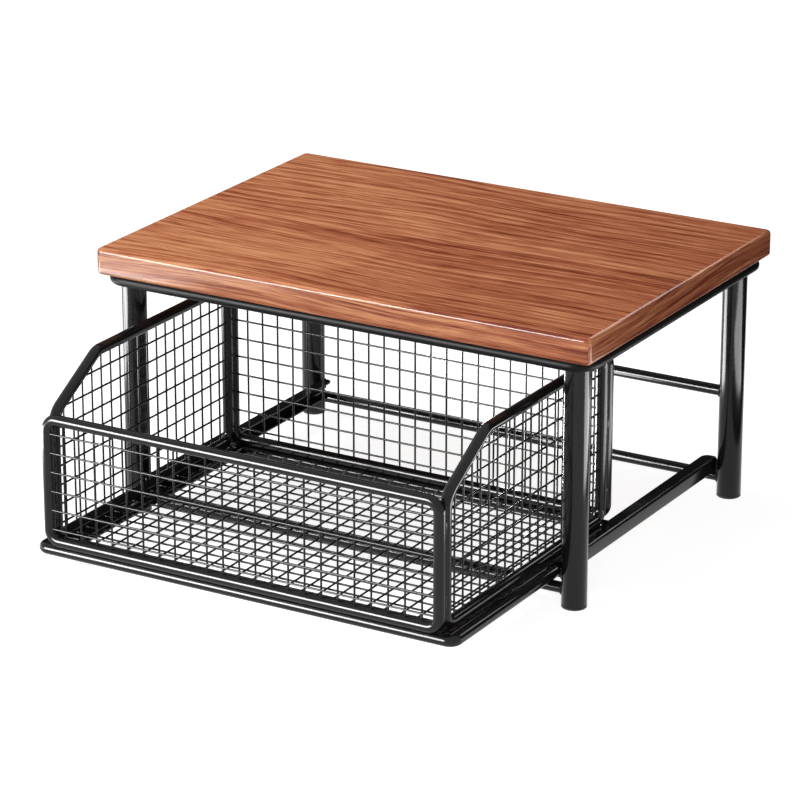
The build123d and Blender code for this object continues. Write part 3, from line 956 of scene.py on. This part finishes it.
class SHELF_OT_stage(bpy.types.Operator):
    """Set up the floor, the light and the camera"""

    bl_idname = "shelf.stage"
    bl_label = "Stage"

    def execute(self, context):
        scene = context.scene
        scene.view_settings.view_transform = "Standard"
        self.lay_floor(scene)
        self.light_world(scene)
        self.hang_lamps(scene)
        self.hang_strips(scene)
        # Dark cards: a wall behind the object, and a sheet on the ground to its right and rear
        self.lay_card(scene, "back_card", np.array([-3.5, 1.6, 0]), 6 * X, 2.4 * Z)
        self.lay_card(scene, "right_card", np.array([0.27, 0.05, 0.003]), 2.23 * X, 1.55 * Y)
        self.place_camera(scene)
        return {"FINISHED"}

    @staticmethod
    def direction(azimuth, elevation):
        """Unit vector from the object, azimuth from the front towards the right and elevation in degrees."""
        turn, rise = np.radians(azimuth), np.radians(elevation)
        return np.array([np.sin(turn) * np.cos(rise), -np.cos(turn) * np.cos(rise), np.sin(rise)])

    @staticmethod
    def softbox(scene, name, place, aim, size, power, matt=True, gloss=True):
        """Rectangular lamp that looks at a point, for the matt light of surfaces, their gloss or both."""
        lamp = bpy.data.lights.new(name, "AREA")
        lamp.shape = "RECTANGLE"
        lamp.size, lamp.size_y = size
        lamp.energy = power
        box = bpy.data.objects.new(name, lamp)
        box.location = place
        box.rotation_euler = Vector(place - aim).to_track_quat("Z", "Y").to_euler()
        box.visible_camera = False
        box.visible_diffuse = matt
        box.visible_glossy = gloss
        scene.collection.objects.link(box)

    def hang_lamps(self, scene):
        """Key lamp from the front left, and for matt light alone one above and one at the front right."""
        board = node_box("top_board")[2]
        key = LAMP_AIM + 2.4 * self.direction(-33, 9)
        self.softbox(scene, "key", key, LAMP_AIM, (1.0, 0.5), 22)
        self.softbox(scene, "top", np.array([-0.4, -0.15, 1.375]), board, (0.95, 0.7), 14.2, gloss=False)
        self.softbox(scene, "fill", np.array([1.0, -1.35, 0.45]), board, (0.8, 0.6), 13.5, gloss=False)

    def hang_strips(self, scene):
        """Strips that show only in the gloss.

        One hangs before the key lamp, one behind the object, and one stands under the board and faces the top
        of the rear right leg. The others lie on the ground beside the object and look up.
        """
        before_key = LAMP_AIM + 2.3 * self.direction(-29, 9)
        behind, under_board = np.array([0.3, 1.5, 1.15]), np.array([0.012, 0.11, 0.0775])
        _, leg_high, leg = node_box("rear_right_leg")
        leg_top = np.array([leg[0], leg[1], leg_high[2]])
        self.softbox(scene, "key_strip", before_key, LAMP_AIM, (1.4, 0.9), 190, matt=False)
        self.softbox(scene, "back_strip", behind, LAMP_AIM, (1.0, 0.35), 8, matt=False)
        self.softbox(scene, "leg_strip", under_board, leg_top, (0.12, 0.157), 1.3, matt=False)
        over_ground = 0.01
        for name, x, y, size, power in (
                ("left_strip", -0.62, -0.37, (0.36, 0.24), 8.1),
                ("left_rear_strip", -0.62, -0.15, (0.36, 0.2), 2.7),
                ("front_strip", -0.7, -0.75, (0.4, 0.44), 4.6),
                ("right_strip", 0.6, 0.13, (0.5, 0.34), 6)):
            place = np.array([x, y, over_ground])
            self.softbox(scene, name, place, place + Z, size, power, matt=False)

    def place_camera(self, scene):
        """Camera at the photograph's viewing angle, as far off as its perspective asks."""
        lens, sensor, distance = 172.6965, 36.0, 3.11399
        azimuth, elevation = 30.333, 19.89
        target = np.array([-0.0335, node_box("top_board")[2][1], 0.0826])
        toward = self.direction(azimuth, elevation)
        camera = bpy.data.objects.new("camera", bpy.data.cameras.new("camera"))
        scene.collection.objects.link(camera)
        camera.data.lens = lens
        camera.data.sensor_width = sensor
        camera.location = target + distance * toward
        camera.rotation_euler = Vector(toward).to_track_quat("Z", "Y").to_euler()
        scene.camera = camera

    @staticmethod
    def mix_seen(tree, output, unseen, seen):
        """Put out one shader to camera, glossy and transmission rays, and another to the rest."""
        path = tree.nodes.new("ShaderNodeLightPath").outputs
        mask = path["Is Camera Ray"]
        for ray in ("Is Glossy Ray", "Is Transmission Ray"):
            either = add_node(tree, "ShaderNodeMath", {0: mask, 1: path[ray]}, operation="MAXIMUM")
            mask = either.outputs["Value"]
        mix = add_node(tree, "ShaderNodeMixShader", {0: mask, 1: unseen, 2: seen})
        add_node(tree, output, {"Surface": mix.outputs["Shader"]})

    @staticmethod
    def set_sheet(scene, name, corner, width, depth):
        """Flat stage sheet from a corner along two vectors, and the tree of its empty material."""
        mesh = bpy.data.meshes.new(name)
        corners = [corner, corner + width, corner + width + depth, corner + depth]
        mesh.from_pydata([tuple(place) for place in corners], [], [(0, 1, 2, 3)])
        sheet = bpy.data.objects.new(name, mesh)
        scene.collection.objects.link(sheet)
        material = bpy.data.materials.new(name)
        material.use_nodes = True
        material.node_tree.nodes.clear()
        mesh.materials.append(material)
        return sheet, material.node_tree

    def lay_floor(self, scene):
        """Square floor: matt in the light, and nearly white with the object's shadow where it is seen."""
        side = 8.0
        _, tree = self.set_sheet(scene, "floor", -side / 2 * (X + Y), side * X, side * Y)
        matt = add_node(tree, "ShaderNodeBsdfDiffuse", {"Color": (0.5, 0.5, 0.5, 1)}).outputs["BSDF"]
        white = add_node(tree, "ShaderNodeEmission", {"Color": (1, 1, 1, 1), "Strength": 0.86})
        both = add_node(tree, "ShaderNodeAddShader", {0: matt, 1: white.outputs["Emission"]})
        self.mix_seen(tree, "ShaderNodeOutputMaterial", matt, both.outputs["Shader"])

    def lay_card(self, scene, name, corner, width, depth):
        """Dark card that only the gloss shows."""
        card, tree = self.set_sheet(scene, name, corner, width, depth)
        dark = add_node(tree, "ShaderNodeBsdfDiffuse", {"Color": (0.05, 0.05, 0.05, 1)})
        add_node(tree, "ShaderNodeOutputMaterial", {"Surface": dark.outputs["BSDF"]})
        for ray in ("camera", "diffuse", "transmission", "shadow"):
            setattr(card, f"visible_{ray}", False)

    def light_world(self, scene):
        """Soft grey light from all round, and white where the background is seen."""
        world = scene.world or bpy.data.worlds.new("world")
        scene.world = world
        world.use_nodes = True
        tree = world.node_tree
        tree.nodes.clear()
        grey = add_node(tree, "ShaderNodeBackground", {"Color": (1, 1, 1, 1), "Strength": 0.18})
        white = add_node(tree, "ShaderNodeBackground", {"Color": (1, 1, 1, 1), "Strength": 1.0})
        self.mix_seen(tree, "ShaderNodeOutputWorld", grey.outputs["Background"], white.outputs["Background"])


class SHELF_PT_sidebar(bpy.types.Panel):
    """Sizes, colours and pieces of the shelf"""

    bl_idname = "SHELF_PT_sidebar"
    bl_label = "Countertop shelf"
    bl_space_type = "VIEW_3D"
    bl_region_type = "UI"
    bl_category = "Shelf"

    def draw(self, context):
        for group in (context.scene.shelf_sizes, context.scene.shelf_colours):
            box = self.layout.box()
            for name in group.__annotations__:
                box.prop(group, name)
        for operator in OPERATORS:
            self.layout.operator(operator.bl_idname)


GROUPS = (ShelfSizes, ShelfColours)
OPERATORS = (
    SHELF_OT_board, SHELF_OT_legs, SHELF_OT_frame_rods, SHELF_OT_rails, SHELF_OT_fixings,
    SHELF_OT_slide_frame, SHELF_OT_slide_strips, SHELF_OT_loops, SHELF_OT_panels, SHELF_OT_floor,
    SHELF_OT_welds, SHELF_OT_stage)
CLASSES = GROUPS + OPERATORS + (SHELF_PT_sidebar,)


def register():
    for cls in CLASSES:
        bpy.utils.register_class(cls)
    bpy.types.Scene.shelf_sizes = bpy.props.PointerProperty(type=ShelfSizes)
    bpy.types.Scene.shelf_colours = bpy.props.PointerProperty(type=ShelfColours)


def unregister():
    del bpy.types.Scene.shelf_colours
    del bpy.types.Scene.shelf_sizes
    for cls in reversed(CLASSES):
        bpy.utils.unregister_class(cls)


def main():
    """Register the add-on and make every piece in order."""
    register()
    for operator in OPERATORS:
        group, name = operator.bl_idname.split(".")
        getattr(getattr(bpy.ops, group), name)()


if __name__ == "__main__":
    main()
